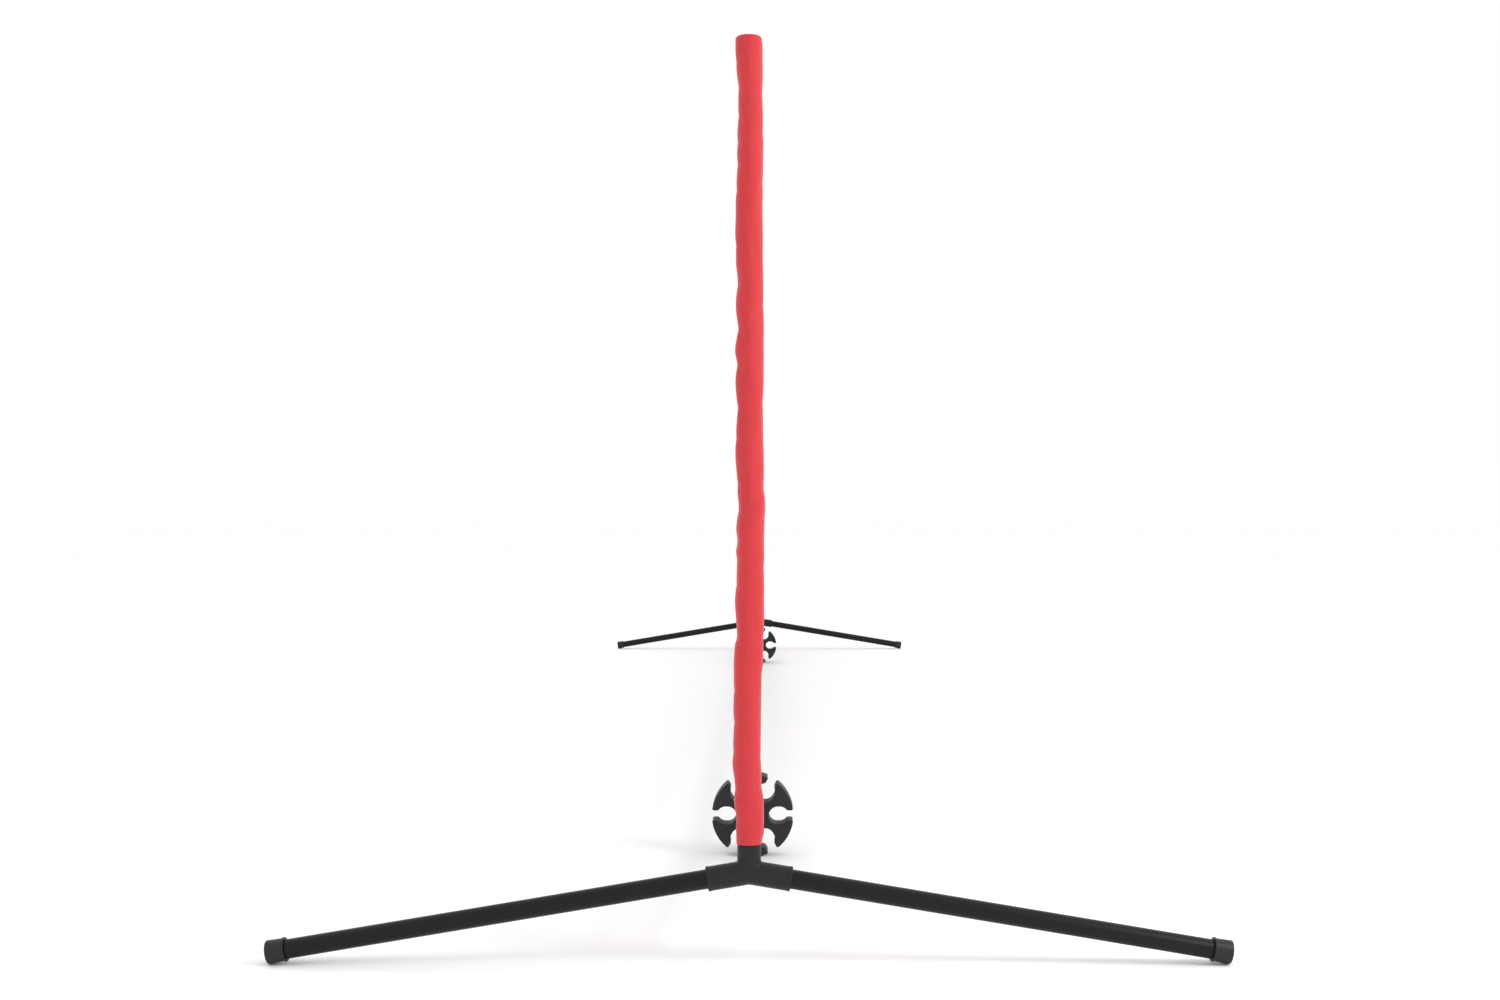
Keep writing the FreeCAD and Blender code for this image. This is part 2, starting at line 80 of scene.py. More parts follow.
# The heights of the net's edges at its ends, which the sag lowers towards the middle.
MESH_TOP = MESH[1][2]
MESH_FOOT = BOTTOM_TAPE[1][2]
SAG = MESH_FOOT - MESH[0][2]
NET_FOOT = BOTTOM_TAPE[0][2] + SAG
SOCKET_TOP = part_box("base_connector_front")[1][2]


def linear(hex_color):
    """A hex sRGB colour as the linear red, green, blue that shaders use."""
    channels = [int(hex_color[i:i + 2], 16) / 255 for i in (1, 3, 5)]
    return tuple(c / 12.92 if c <= 0.04045 else ((c + 0.055) / 1.055) ** 2.4 for c in channels)


def color_setting(name, description, hex_color):
    return FloatVectorProperty(
        name=name, description=description, subtype="COLOR", size=3, min=0, max=1,
        default=linear(hex_color),
    )


def length_setting(name, description, low, high, default):
    return FloatProperty(
        name=name, description=description, unit="LENGTH", min=low, max=high, default=default
    )


class NetClothSettings(bpy.types.PropertyGroup):
    """Sizes and colours of everything that is sewn or knotted."""
    red: color_setting("Cloth red", "Colour of the sleeves and tapes", "#cc343a")
    thread: color_setting("Sewing thread", "Colour of the stitches", "#d0464a")
    twine: color_setting("Net twine", "Colour of the knotted net", "#17181a")
    cloth_thick: length_setting(
        "Cloth thickness", "Thickness of one layer of cloth", 0.0002, 0.0015, 0.0006
    )
    hem: length_setting(
        "Sleeve hem", "Height of the hem at the foot of each sleeve", 0.005, 0.04, 0.0165
    )
    square: length_setting("Net square", "Side of one square of the net", 0.02, 0.06, 0.035)
    twine_thick: length_setting(
        "Twine thickness", "Diameter of the net twine", 0.0006, 0.004, 0.0016
    )
    stitch_pitch: length_setting("Stitch pitch", "From one stitch to the next", 0.002, 0.01, 0.004)
    sleeve_rows: IntProperty(
        name="Sleeve rows", description="Rows of cloth faces up each sleeve",
        min=60, max=500, default=420,
    )


class NetFrameSettings(bpy.types.PropertyGroup):
    """Colours of the hard parts."""
    powder: color_setting("Powder coat", "Colour of the coated tubes", "#101011")
    fitting: color_setting("Fittings", "Colour of the moulded connectors and elbows", "#111113")
    cap: color_setting("Caps", "Colour of the moulded leg caps", "#1b1b1c")
    wheel: color_setting("Wheels", "Colour of the moulded support wheels", "#202021")
    rubber: color_setting("Rubber", "Colour of the stop rings", "#121212")
    zinc: color_setting("Zinc", "Colour of the plated snap buttons", "#b9bbbd")
    voxel: length_setting(
        "Fitting detail", "Size of the cells that blend the fitting's arms", 0.0004, 0.002, 0.0006
    )


class NetStageSettings(bpy.types.PropertyGroup):
    """The floor, the light and the camera."""
    floor: color_setting("Floor", "Colour of the plain floor", "#ffffff")
    eye_height: length_setting("Eye height", "Height of the camera above the floor", 0.05, 5, 0.439)
    eye_distance: length_setting(
        "Eye distance", "From the camera to the front post", 0.5, 20, 1.663
    )
    lens: FloatProperty(
        name="Lens", description="Focal length on a 36 mm wide sensor",
        unit="CAMERA", min=10, max=200, default=40.56,
    )


# ---- Small helpers ----

def deselect():
    bpy.ops.object.select_all(action="DESELECT")


def make_active(piece):
    deselect()
    piece.select_set(True)
    bpy.context.view_layer.objects.active = piece


def apply_modifier(piece, kind, **settings):
    """Adds a modifier with its settings and applies it."""
    make_active(piece)
    modifier = piece.modifiers.new(kind.title(), kind)
    for name, value in settings.items():
        setattr(modifier, name, value)
    bpy.ops.object.modifier_apply(modifier=modifier.name)


def settle(piece, name):
    """Names a piece and puts its place into its mesh."""
    make_active(piece)
    bpy.ops.object.transform_apply(location=True, rotation=True, scale=True)
    piece.name = name
    piece.data.name = name
    return piece


def smooth(piece, angle=35):
    make_active(piece)
    bpy.ops.object.shade_smooth_by_angle(angle=math.radians(angle))


def clean(piece):
    """Merges doubles, drops slivers and loose edges, and turns the faces outwards."""
    make_active(piece)
    bpy.ops.object.mode_set(mode="EDIT")
    bpy.ops.mesh.select_all(action="SELECT")
    bpy.ops.mesh.remove_doubles(threshold=0.00001)
    bpy.ops.mesh.dissolve_degenerate(threshold=0.00001)
    bpy.ops.mesh.delete_loose(use_verts=True, use_edges=True, use_faces=False)
    bpy.ops.mesh.select_all(action="SELECT")
    bpy.ops.mesh.normals_make_consistent(inside=False)
    bpy.ops.object.mode_set(mode="OBJECT")


def copy_turned(piece, name):
    """A copy with its own mesh for the net's other end, turned half round about the middle."""
    copy = piece.copy()
    copy.data = piece.data.copy()
    copy.name = name
    copy.data.name = name
    bpy.context.scene.collection.objects.link(copy)
    copy.data.transform(Matrix.Rotation(math.pi, 4, "Z"))
    return copy


def finish_piece(piece, material, body, slot, *nodes):
    """Gives a piece its material, its body and the frame nodes that it stands for, which it hides. Its
    slot is not used.
    """
    piece.data.materials.clear()
    piece.data.materials.append(material)
    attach(piece, body)
    if nodes:
        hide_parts(*nodes)


def finish_base_pair(front, back_name, material, slot, node):
    """Finishes a front piece of the base frame and its copy for the back stand."""
    back = copy_turned(front, back_name)
    finish_piece(front, material, "base_frame", slot, node + "_front")
    finish_piece(back, material, "base_frame", slot, node + "_back")


def cloth_grid(name, around, up, place, rise=None):
    """A grid of cloth whose point at (u, v), each from 0 to 1, goes to place(u, v). Rise gives the
    share of the cloth's length at v, where the rows aren't evenly spread."""
    deselect()
    bpy.ops.mesh.primitive_grid_add(x_subdivisions=around, y_subdivisions=up, size=1)
    piece = bpy.context.object
    if rise:
        for corner in piece.data.uv_layers.active.data:
            corner.uv.y = rise(corner.uv.y)
    for vertex in piece.data.vertices:
        vertex.co = place(vertex.co.x + 0.5, vertex.co.y + 0.5)
    piece.name = name
    piece.data.name = name
    return piece


def thicken(piece, thick):
    """Gives a sheet its thickness, half to each side."""
    apply_modifier(
        piece, "SOLIDIFY", thickness=thick, offset=0, use_rim=True, use_even_offset=False
    )
    smooth(piece, 60)


def sag_at(y):
    """How far the net hangs below its ends at a place along it."""
    return SAG * (1 - (y / NET_HALF) ** 2)


def ease(t):
    t = min(max(t, 0), 1)
    return t * t * (3 - 2 * t)


def through(points, x, blend=ease):
    """A curve through (x, value) points in rising x, smooth or, with blend=float, straight."""
    for (x0, v0), (x1, v1) in zip(points, points[1:]):
        if x <= x1:
            return v0 + (v1 - v0) * blend((x - x0) / (x1 - x0))
    return points[-1][1]


# ---- Materials ----

# The colour mix node's sockets, by number because their names repeat.
MIX_FROM, MIX_TO, MIX_RESULT = 6, 7, 2


def feed(tree, node, inputs):
    """Sets each input to its value, or links it to the output given for it."""
    for socket, value in inputs.items():
        if isinstance(value, bpy.types.NodeSocket):
            tree.links.new(value, node.inputs[socket])
        else:
            node.inputs[socket].default_value = value


def add(tree, kind, inputs, **settings):
    """Adds a node with its settings, and sets or links its inputs."""
    made = tree.nodes.new(kind)
    for name, value in settings.items():
        setattr(made, name, value)
    feed(tree, made, inputs)
    return made


def new_material(name):
    """A material with its tree, its shader, and the place of each point on the piece."""
    material = bpy.data.materials.new(name)
    material.use_nodes = True
    tree = material.node_tree
    place = add(tree, "ShaderNodeTexCoord", {}).outputs["Object"]
    return material, tree, tree.nodes["Principled BSDF"], place


def lumps(millimetres):
    """The noise scale whose lumps are a number of millimetres across."""
    return 1 / (millimetres * MM)


def mottle(tree, place, millimetres, color, low, high, **settings):
    """Noise with lumps of a size, and the colour made darker and lighter by it, between two
    factors."""
    inputs = {"Vector": place, "Scale": lumps(millimetres), **settings}
    spread = add(tree, "ShaderNodeTexNoise", inputs).outputs["Fac"]
    shades = [(*(min(c * factor, 1) for c in color), 1) for factor in (low, high)]
    inputs = {"Factor": spread, MIX_FROM: shades[0], MIX_TO: shades[1]}
    tone = add(tree, "ShaderNodeMix", inputs, data_type="RGBA")
    return spread, tone.outputs[MIX_RESULT]


def powder_coated_steel(color):
    """Mild steel tube with a baked satin powder coat: a faint orange-peel ripple about 2 mm
    across, a satin highlight along the tube and slightly rubbed, greyer patches."""
    material, tree, shader, place = new_material("Powder-coated steel tube, satin black")
    peel = add(tree, "ShaderNodeTexNoise", {"Vector": place, "Scale": lumps(2.08), "Detail": 2})
    rub, tone = mottle(tree, place, 71.4, color, 0.85, 1.2, Detail=6, Roughness=0.6)
    rough = add(tree, "ShaderNodeMapRange", {"Value": rub, "To Min": 0.34, "To Max": 0.48})
    bump = add(
        tree, "ShaderNodeBump",
        {"Height": peel.outputs["Fac"], "Strength": 0.12, "Distance": 0.4 * MM},
    )
    feed(tree, shader, {
        "Base Color": tone,
        "Roughness": rough.outputs["Result"],
        "Normal": bump.outputs["Normal"],
        "Specular IOR Level": 0.22,
    })
    return material


def moulded_plastic(name, color, grain_mm, roughness):
    """Injection-moulded polypropylene: an even satin surface with the fine spark-eroded grain
    of the mould, and faint flow variation in tone."""
    material, tree, shader, place = new_material(name)
    scale = lumps(grain_mm)
    grain = add(tree, "ShaderNodeTexNoise", {"Vector": place, "Scale": scale, "Detail": 3})
    tone = mottle(tree, place, 45.5, color, 0.9, 1.12, Detail=3)[1]
    rough = add(
        tree, "ShaderNodeMapRange",
        {"Value": grain.outputs["Fac"], "To Min": roughness - 0.06, "To Max": roughness + 0.06},
    )
    bump = add(
        tree, "ShaderNodeBump",
        {"Height": grain.outputs["Fac"], "Strength": 0.25, "Distance": 0.2 * MM},
    )
    feed(tree, shader, {
        "Base Color": tone,
        "Roughness": rough.outputs["Result"],
        "Normal": bump.outputs["Normal"],
        "Specular IOR Level": 0.35,
    })
    return material


def moulded_rubber(color):
    """Moulded black rubber: matte, with a chalky bloom."""
    material, tree, shader, place = new_material("Moulded rubber, matte black")
    bloom, tone = mottle(tree, place, 6.25, color, 0.8, 1.6, Detail=4)
    bump = add(tree, "ShaderNodeBump", {"Height": bloom, "Strength": 0.2, "Distance": 0.2 * MM})
    feed(tree, shader, {"Base Color": tone, "Normal": bump.outputs["Normal"], "Roughness": 0.85})
    return material


def plated_steel(color):
    """Pressed spring steel with bright zinc plate: metallic, with fine tumbling marks."""
    material, tree, shader, place = new_material("Zinc-plated spring steel")
    marks, tone = mottle(tree, place, 1.11, color, 0.85, 1, Detail=4)
    rough = add(tree, "ShaderNodeMapRange", {"Value": marks, "To Min": 0.22, "To Max": 0.42})
    feed(tree, shader, {"Base Color": tone, "Roughness": rough.outputs["Result"], "Metallic": 1})
    return material


# The wave texture's scale that gives one wave for each unit of length.
ONE_WAVE = math.pi / 10


def woven_polyester(name, color, width, height):
    """Plain-woven polyester, piece-dyed red, with a soft sheen of fibres at grazing angles. Real
    yarns are about 0.3 mm apart, which is too fine to show, so they are drawn 1.2 mm apart."""
    yarn = 1.2 * MM
    material, tree, shader, place = new_material(name)
    flat = add(tree, "ShaderNodeTexCoord", {}).outputs["UV"]
    across = (width / yarn, height / yarn, 1)
    yarns = add(tree, "ShaderNodeMapping", {"Vector": flat, "Scale": across}).outputs["Vector"]
    warp = add(tree, "ShaderNodeTexWave", {"Vector": yarns, "Scale": ONE_WAVE}, bands_direction="X")
    weft = add(tree, "ShaderNodeTexWave", {"Vector": yarns, "Scale": ONE_WAVE}, bands_direction="Y")
    over = add(tree, "ShaderNodeTexChecker", {"Vector": yarns, "Scale": 1})
    weave = add(
        tree, "ShaderNodeMix",
        {"Factor": over.outputs["Fac"], "A": warp.outputs["Fac"], "B": weft.outputs["Fac"]},
    ).outputs["Result"]
    dyed = mottle(tree, place, 38.5, color, 0.93, 1.07, Detail=5, Roughness=0.6)[1]
    # Painted shade: the cloth's colour is darkened in the gaps between the yarns, where shade falls.
    painted_gap_shade = add(tree, "ShaderNodeMapRange", {"Value": weave, "To Min": 0.88, "To Max": 1.0})
    dyed_and_shaded = add(
        tree, "ShaderNodeHueSaturation",
        {"Color": dyed, "Value": painted_gap_shade.outputs["Result"]},
    )
    bump = add(tree, "ShaderNodeBump", {"Height": weave, "Strength": 0.25, "Distance": 0.3 * MM})
    feed(tree, shader, {
        "Base Color": dyed_and_shaded.outputs["Color"],
        "Normal": bump.outputs["Normal"],
        "Roughness": 0.82,
        "Sheen Weight": 0.35,
        "Sheen Roughness": 0.4,
        "IOR": 1.45,
    })
    return material


def spun_thread(name, color):
    """Spun polyester sewing thread: matte, a little lighter than the cloth it is sewn into."""
    material, tree, shader, place = new_material(name)
    tone = mottle(tree, place, 0.667, color, 0.85, 1.1, Detail=2)[1]
    feed(tree, shader, {"Base Color": tone, "Roughness": 0.75, "Sheen Weight": 0.2})
    return material


def knotted_twine(color):
    """Twisted polyethylene twine, knotted: slightly waxy black strands, lighter where they catch
    the light."""
    material, tree, shader, place = new_material("Twisted polyethylene twine, black")
    # Painted highlights: one noise both bumps the strands and makes random spots of them lighter,
    # standing for where they catch the light.
    strand_and_glint, tone = mottle(tree, place, 1.43, color, 0.7, 1.5, Detail=3)
    bump = add(tree, "ShaderNodeBump", {"Height": strand_and_glint, "Strength": 0.5, "Distance": 0.3 * MM})
    feed(tree, shader, {"Base Color": tone, "Normal": bump.outputs["Normal"], "Roughness": 0.5})
    return material


# ---- Cloth shapes ----

# The cloth's middle surface round a post, seen from above: a flap of two layers sewn together
# towards the net, opening into a loose loop round the tube.
SEW_LINE = 0.0170
LOOP_RADIUS = 0.0127
FLAP_HALF = 0.0013
TOP_ROUND = 0.0022
HEIGHT = SLEEVE_HIGH - SLEEVE_LOW
# Where the cloth's rows go: closer together at the hem and the head, then over the top edge.
ROWS = ((0, 0), (0.12, 0.026), (0.88, HEIGHT - 0.016), (0.93, HEIGHT - TOP_ROUND))
EDGE_FROM, EDGE_TO = 0.93, 0.965


# The path runs along the flap, then straight from the seam until it touches the round part, where
# it has turned by the lean.
SEAM = Vector((FLAP_HALF, SEW_LINE))
LEAN = math.acos(LOOP_RADIUS / SEAM.length) + math.atan2(SEAM.x, SEAM.y)
TOUCH = Vector((LOOP_RADIUS * math.sin(LEAN), LOOP_RADIUS * math.cos(LEAN)))
FLAP_LENGTH = FLAP_REACH - SEW_LINE
SIDE_LENGTH = (TOUCH - SEAM).length
LOOP_LENGTH = 2 * FLAP_LENGTH + 2 * SIDE_LENGTH + LOOP_RADIUS * 2 * (math.pi - LEAN)


def loop_point(u):
    """The point and the outward direction at a share of the path round the post, from the right
    flap's edge to the left's. The net is at +Y."""
    s = u * LOOP_LENGTH
    mirror = 1
    if s > LOOP_LENGTH / 2:
        s = LOOP_LENGTH - s
        mirror = -1
    if s <= FLAP_LENGTH:
        point = Vector((FLAP_HALF, FLAP_REACH - s))
        out = Vector((1, 0))
    elif s <= FLAP_LENGTH + SIDE_LENGTH:
        t = (s - FLAP_LENGTH) / SIDE_LENGTH
        point = SEAM.lerp(TOUCH, t)
        round_out = Vector((math.sin(LEAN * t), math.cos(LEAN * t)))
        out = round_out.lerp(Vector((1, 0)), 1 - t).normalized()
    else:
        turn = LEAN + (s - FLAP_LENGTH - SIDE_LENGTH) / LOOP_RADIUS
        out = Vector((math.sin(turn), math.cos(turn)))
        point = out * LOOP_RADIUS
    return Vector((point.x * mirror, point.y)), Vector((out.x * mirror, out.y))


# How the loose sleeve hangs on the post: (height as a share of the sleeve, push to the left and
# to the right in millimetres).
LEFT_SLACK = (
    (0.0, -1.0), (0.03, 0.6), (0.055, 2.2), (0.075, 1.5), (0.10, 3.2), (0.15, 2.5), (0.22, 2.3),
    (0.245, 1.6), (0.26, -0.6), (0.30, 0.7), (0.345, -0.8), (0.36, 0.2), (0.374, -1.6), (0.39, -0.5),
    (0.418, -2.2), (0.44, -1.0), (0.50, 0.2), (0.54, -0.8), (0.57, 0.2), (0.595, -1.2), (0.61, 0.4),
    (0.64, -1.6), (0.665, -0.2), (0.70, -1.0), (0.72, 0.1), (0.76, 0.5), (0.80, 0.3), (0.84, -1.0),
    (0.90, -2.0), (0.94, -2.1), (0.965, -0.6), (0.985, 0.6), (1.0, 0.3),
)
RIGHT_SLACK = (
    (0.0, -1.0), (0.015, 0.8), (0.05, 0.9), (0.075, -0.5), (0.12, -1.4), (0.20, -1.2), (0.23, 0.6),
    (0.28, 1.1), (0.345, 2.0), (0.38, 1.4), (0.42, 2.9), (0.45, 1.2), (0.52, 0.9), (0.60, 1.2),
    (0.70, 0.8), (0.78, 0.0), (0.86, 0.8), (0.95, 0.6), (0.985, 0.2), (1.0, -0.6),
)
# Heights, as shares of the sleeve, of the sharp creases on its left and on its right.
LEFT_CREASES = (
    0.030, 0.067, 0.113, 0.150, 0.190, 0.252, 0.320, 0.354, 0.416, 0.446, 0.502, 0.541, 0.593,
    0.638, 0.692, 0.742, 0.810, 0.842, 0.868, 0.902, 0.937,
)
RIGHT_CREASES = (0.070, 0.107, 0.178, 0.255, 0.342, 0.403, 0.438, 0.545, 0.667, 0.818, 0.880, 0.930)
CREASE_DEPTH = 1.1 * MM
CREASE_REACH = 6 * MM
CREASE_SLANT = 20 * MM
CREASE_EASE = 0.25 * CREASE_DEPTH
# How far the cloth ripples, how tall a ripple is, and the share of it in finer ones.
WRINKLE = 0.9 * MM
WRINKLE_HEIGHT = 45 * MM
FINE_SHARE = 0.35
SLEEVE_SEED = 4.0
SLEEVE_AROUND = 84
# Nearest that the cloth comes to the post, and to the axis where it hangs over the socket.
CLEAR_OF_POST = 0.6 * MM
CLEAR_OF_SOCKET = 12.35 * MM
SOCKET_MARGIN = 4 * MM
# Rows of stitches: above the sleeve's foot, and below its top. Each lies in a shallow dent.
HEM_STITCH = 5 * MM
HEAD_STITCH = 9.5 * MM
DENT_HALF = 1.1 * MM
# How far the hem's second layer stands out, and the size of the seam that closes the top.
HEM_PLY = 0.25 * MM
TOP_SEAM_HALF = 0.4 * MM
TOP_SEAM_DIP = 0.7 * MM


def creases(lines, facing, above):
    """How deep the creases of one side are. They slant as they run out towards the front."""
    z = above + CREASE_SLANT * (1 - facing)
    fade = max(facing, 0) ** 0.7 + 0.3 * max(1 - abs(facing), 0)
    deep = sum(math.exp(-abs(z - line * HEIGHT) / CREASE_REACH) for line in lines)
    return deep * fade * CREASE_DEPTH


def sleeve_slack(out, share):
    """How far the cloth stands off its plain loop, for an outward direction and a share of the
    height."""
    left = through(LEFT_SLACK, share) * MM
    right = through(RIGHT_SLACK, share) * MM
    side = left * max(-out.x, 0) ** 1.5 + right * max(out.x, 0) ** 1.5
    side += CREASE_EASE
    side -= creases(LEFT_CREASES, -out.x, share * HEIGHT)
    side -= creases(RIGHT_CREASES, out.x, share * HEIGHT) * 0.6
    where = Vector((out.x * 1.3, out.y * 1.3, share * HEIGHT / WRINKLE_HEIGHT + SLEEVE_SEED))
    ripple = noise.noise(where) * WRINKLE
    fine = noise.noise(where * 2.3 + Vector((7, 3, 1))) * WRINKLE * FINE_SHARE
    return side + (ripple + fine) * min(share / 0.03, 1) * min((1 - share) / 0.02, 1)


def row_share(v):
    """The share of the sleeve's height at a row."""
    over_edge = TOP_ROUND * min(max((v - EDGE_FROM) / (EDGE_TO - EDGE_FROM), 0), 1)
    return (through(ROWS, v, float) + over_edge) / HEIGHT


def sleeve_side(u, above, hem, inset=0):
    """A point of the sleeve's side, at a height above its foot."""
    point, out = loop_point(u)
    loose = ease((SEW_LINE + 0.001 - point.y) / 0.010)
    stand_off = sleeve_slack(out, above / HEIGHT) * loose
    for line, deep in ((HEM_STITCH, 0.35), (hem, 0.5), (HEIGHT - HEAD_STITCH, 0.45)):
        stand_off -= deep * MM * math.exp(-((above - line) / DENT_HALF) ** 2) * loose
    if above < hem:
        stand_off += HEM_PLY * loose
    spot = point + out * stand_off
    clear = POST_RADIUS + CLEAR_OF_POST
    if SLEEVE_LOW + above < SOCKET_TOP + SOCKET_MARGIN:
        clear = CLEAR_OF_SOCKET
    if spot.length < clear:
        spot = spot.normalized() * clear
    spot -= out * inset * loose
    return Vector((spot.x, spot.y + POST_Y["front"], SLEEVE_LOW + above))


def sleeve_place(u, v, hem):
    """Where the sleeve's cloth goes: up the side, round the top edge, and in to the seam on top."""
    if v <= EDGE_FROM:
        return sleeve_side(u, through(ROWS, v, float), hem)
    turn = min((v - EDGE_FROM) / (EDGE_TO - EDGE_FROM), 1) * math.pi / 2
    rise = HEIGHT - TOP_ROUND * (1 - math.sin(turn))
    spot = sleeve_side(u, rise, hem, TOP_ROUND * (1 - math.cos(turn)))
    close = max((v - EDGE_TO) / (1 - EDGE_TO), 0)
    seam = math.copysign(TOP_SEAM_HALF, spot.x)
    spot.x += (seam - spot.x) * close
    spot.y -= (spot.y - POST_Y["front"]) * 0.06 * close
    spot.z -= TOP_SEAM_DIP * close ** 3
    return spot


def make_sleeve(settings):
    piece = cloth_grid(
        "post_sleeve_cloth_front", SLEEVE_AROUND, settings.sleeve_rows,
        lambda u, v: sleeve_place(u, v, settings.hem), row_share,
    )
    thicken(piece, settings.cloth_thick)
    return piece


def stitch_row(points, directions, size):
    """One mesh of stitches: at each point a small rounded bar that lies along its direction, with
    its normal up."""
    verts, faces = [], []
    half, wide = size * 0.36, size * 0.09
    for point, (along, normal) in zip(points, directions):
        side = along.cross(normal).normalized()
        ring = []
        for t, scale in ((-1, 0.45), (-0.6, 1), (0.6, 1), (1, 0.45)):
            centre = point + along * half * t
            for across, up in ((-1, 0), (0, 1), (1, 0), (0, -1)):
                verts.append(centre + (side * across + normal * up) * wide * scale)
            ring.append(len(verts) - 4)
        for a, b in zip(ring, ring[1:]):
            faces += [(a + k, a + (k + 1) % 4, b + (k + 1) % 4, b + k) for k in range(4)]
        faces.append(tuple(ring[0] + k for k in (3, 2, 1, 0)))
        faces.append(tuple(ring[-1] + k for k in range(4)))
    return verts, faces


def mesh_from(name, verts, faces, angle=50):
    """A piece from a list of corners and faces, smooth where its faces meet within an angle."""
    mesh = bpy.data.meshes.new(name)
    mesh.from_pydata([tuple(v) for v in verts], [], faces)
    mesh.update()
    piece = bpy.data.objects.new(name, mesh)
    bpy.context.scene.collection.objects.link(piece)
    clean(piece)
    smooth(piece, angle)
    return piece


# How far a stitch's middle stands off the cloth's, in thicknesses of the cloth.
STITCH_STAND = 0.75


def sleeve_stitches(settings):
    """Rows of stitches round the sleeve's hem and head, and up the flap by the post and the net."""
    points, directions = [], []
    pitch = settings.stitch_pitch
    proud = settings.cloth_thick * STITCH_STAND
    count = int(LOOP_LENGTH / pitch)
    for above in (HEM_STITCH, settings.hem, HEIGHT - HEAD_STITCH):
        for i in range(count):
            u = (i + 0.5) / count
            here, ahead, behind = (
                sleeve_side(min(max(u + step, 0), 1), above, settings.hem)
                for step in (0, 0.004, -0.004)
            )
            normal = loop_point(u)[1].to_3d()
            points.append(here + normal * proud)
            directions.append(((ahead - behind).normalized(), normal))
    up = Vector((0, 0, 1))
    for reach in (SEW_LINE + 0.002, FLAP_REACH - 0.014):
        for i in range(int((HEIGHT - 0.02) / pitch)):
            z = SLEEVE_LOW + 0.01 + (i + 0.5) * pitch
            for side in (-1, 1):
                points.append(Vector((side * (FLAP_HALF + proud), POST_Y["front"] + reach, z)))
                directions.append((up, Vector((side, 0, 0))))
    verts, faces = stitch_row(points, directions, pitch)
    return mesh_from("sleeve_stitches_front", verts, faces)


# A tape's node, the heights of its edges at its ends, whether its fold is on top, and its seed.
Tape = namedtuple("Tape", "node low high fold_up seed")
TOP = Tape("net_top_tape", MESH_TOP, TOP_TAPE[1][2], True, 1.0)
BOTTOM = Tape("net_bottom_tape", NET_FOOT, MESH_FOOT, False, 2.0)
TAPE_LAP = 10 * MM
TAPE_HALF = NET_HALF + TAPE_LAP
# From the net's middle to each side of the cloth: along the net, and where it laps the flaps.
TAPE_GAP = 1.35 * MM
TAPE_END_GAP = 2.2 * MM
TAPE_OPENS = 14 * MM
TAPE_OPEN = 2 * MM
TAPE_SEAM = 4 * MM
TAPE_DENT, TAPE_DENT_HALF = 0.25 * MM, 1.4 * MM
TAPE_ACROSS, TAPE_ALONG = 30, 900
# How far the tape's sides pucker and its edges wave, and how long a pucker and a wave are.
PUCKER, PUCKER_LENGTH = 0.4 * MM, 16 * MM
EDGE_WAVE, EDGE_WAVE_LENGTH = 1.2 * MM, 90 * MM
# How far from the net's ends the hanging net is free to wander, and how far it does.
DRIFT_FROM = 120 * MM
DRIFT = 3.5 * MM
DRIFT_WAVE = 420 * MM


def tape_drift(y, seed):
    """Sideways wander of the hanging net, in a long uneven wave."""
    return noise.noise(Vector((y / DRIFT_WAVE, seed * 3.1, 0.5))) * DRIFT


def tape_place(tape, s, y, side):
    """A tape folded over an edge of the net, at a distance s up one side from its sewn edge. Its
    ends open wider to lap over the sleeves' flaps."""
    from_end = NET_HALF - abs(y)
    opening = ease((TAPE_OPENS - from_end) / (TAPE_OPENS - TAPE_OPEN))
    gap = TAPE_GAP + (TAPE_END_GAP - TAPE_GAP) * opening
    width = tape.high - tape.low - gap
    if s <= width:
        x, up = gap, s
        x -= TAPE_DENT * math.exp(-((s - TAPE_SEAM) / TAPE_DENT_HALF) ** 2)
    else:
        turn = (s - width) / gap
        x, up = gap * math.cos(turn), width + gap * math.sin(turn)
    where = Vector((y / PUCKER_LENGTH, up / 0.02, side + tape.seed))
    pucker = (noise.noise(where) + 0.25) * PUCKER
    x = (x + pucker * min(up / 0.01, 1) * ease((width - up) / 0.004)) * side
    z = tape.low + up if tape.fold_up else tape.high - up
    wave = noise.noise(Vector((y / EDGE_WAVE_LENGTH, tape.seed, 3))) * EDGE_WAVE
    z += wave * ease(from_end / 0.05)
    drift = tape_drift(y, tape.seed) * ease(from_end / DRIFT_FROM)
    return Vector((x + drift, y, z - sag_at(min(abs(y), NET_HALF))))


def tape_cloth(tape, u, v):
    """A point of the tape, u across its width from one sewn edge to the other."""
    y = (v - 0.5) * 2 * TAPE_HALF
    half = tape.high - tape.low - TAPE_GAP + TAPE_GAP * math.pi / 2
    if u <= 0.5:
        return tape_place(tape, u * 2 * half, y, 1)
    return tape_place(tape, (1 - u) * 2 * half, y, -1)


def make_tape(tape, thick):
    piece = cloth_grid(
        tape.node + "_cloth", TAPE_ACROSS, TAPE_ALONG, lambda u, v: tape_cloth(tape, u, v)
    )
    thicken(piece, thick)
    return piece


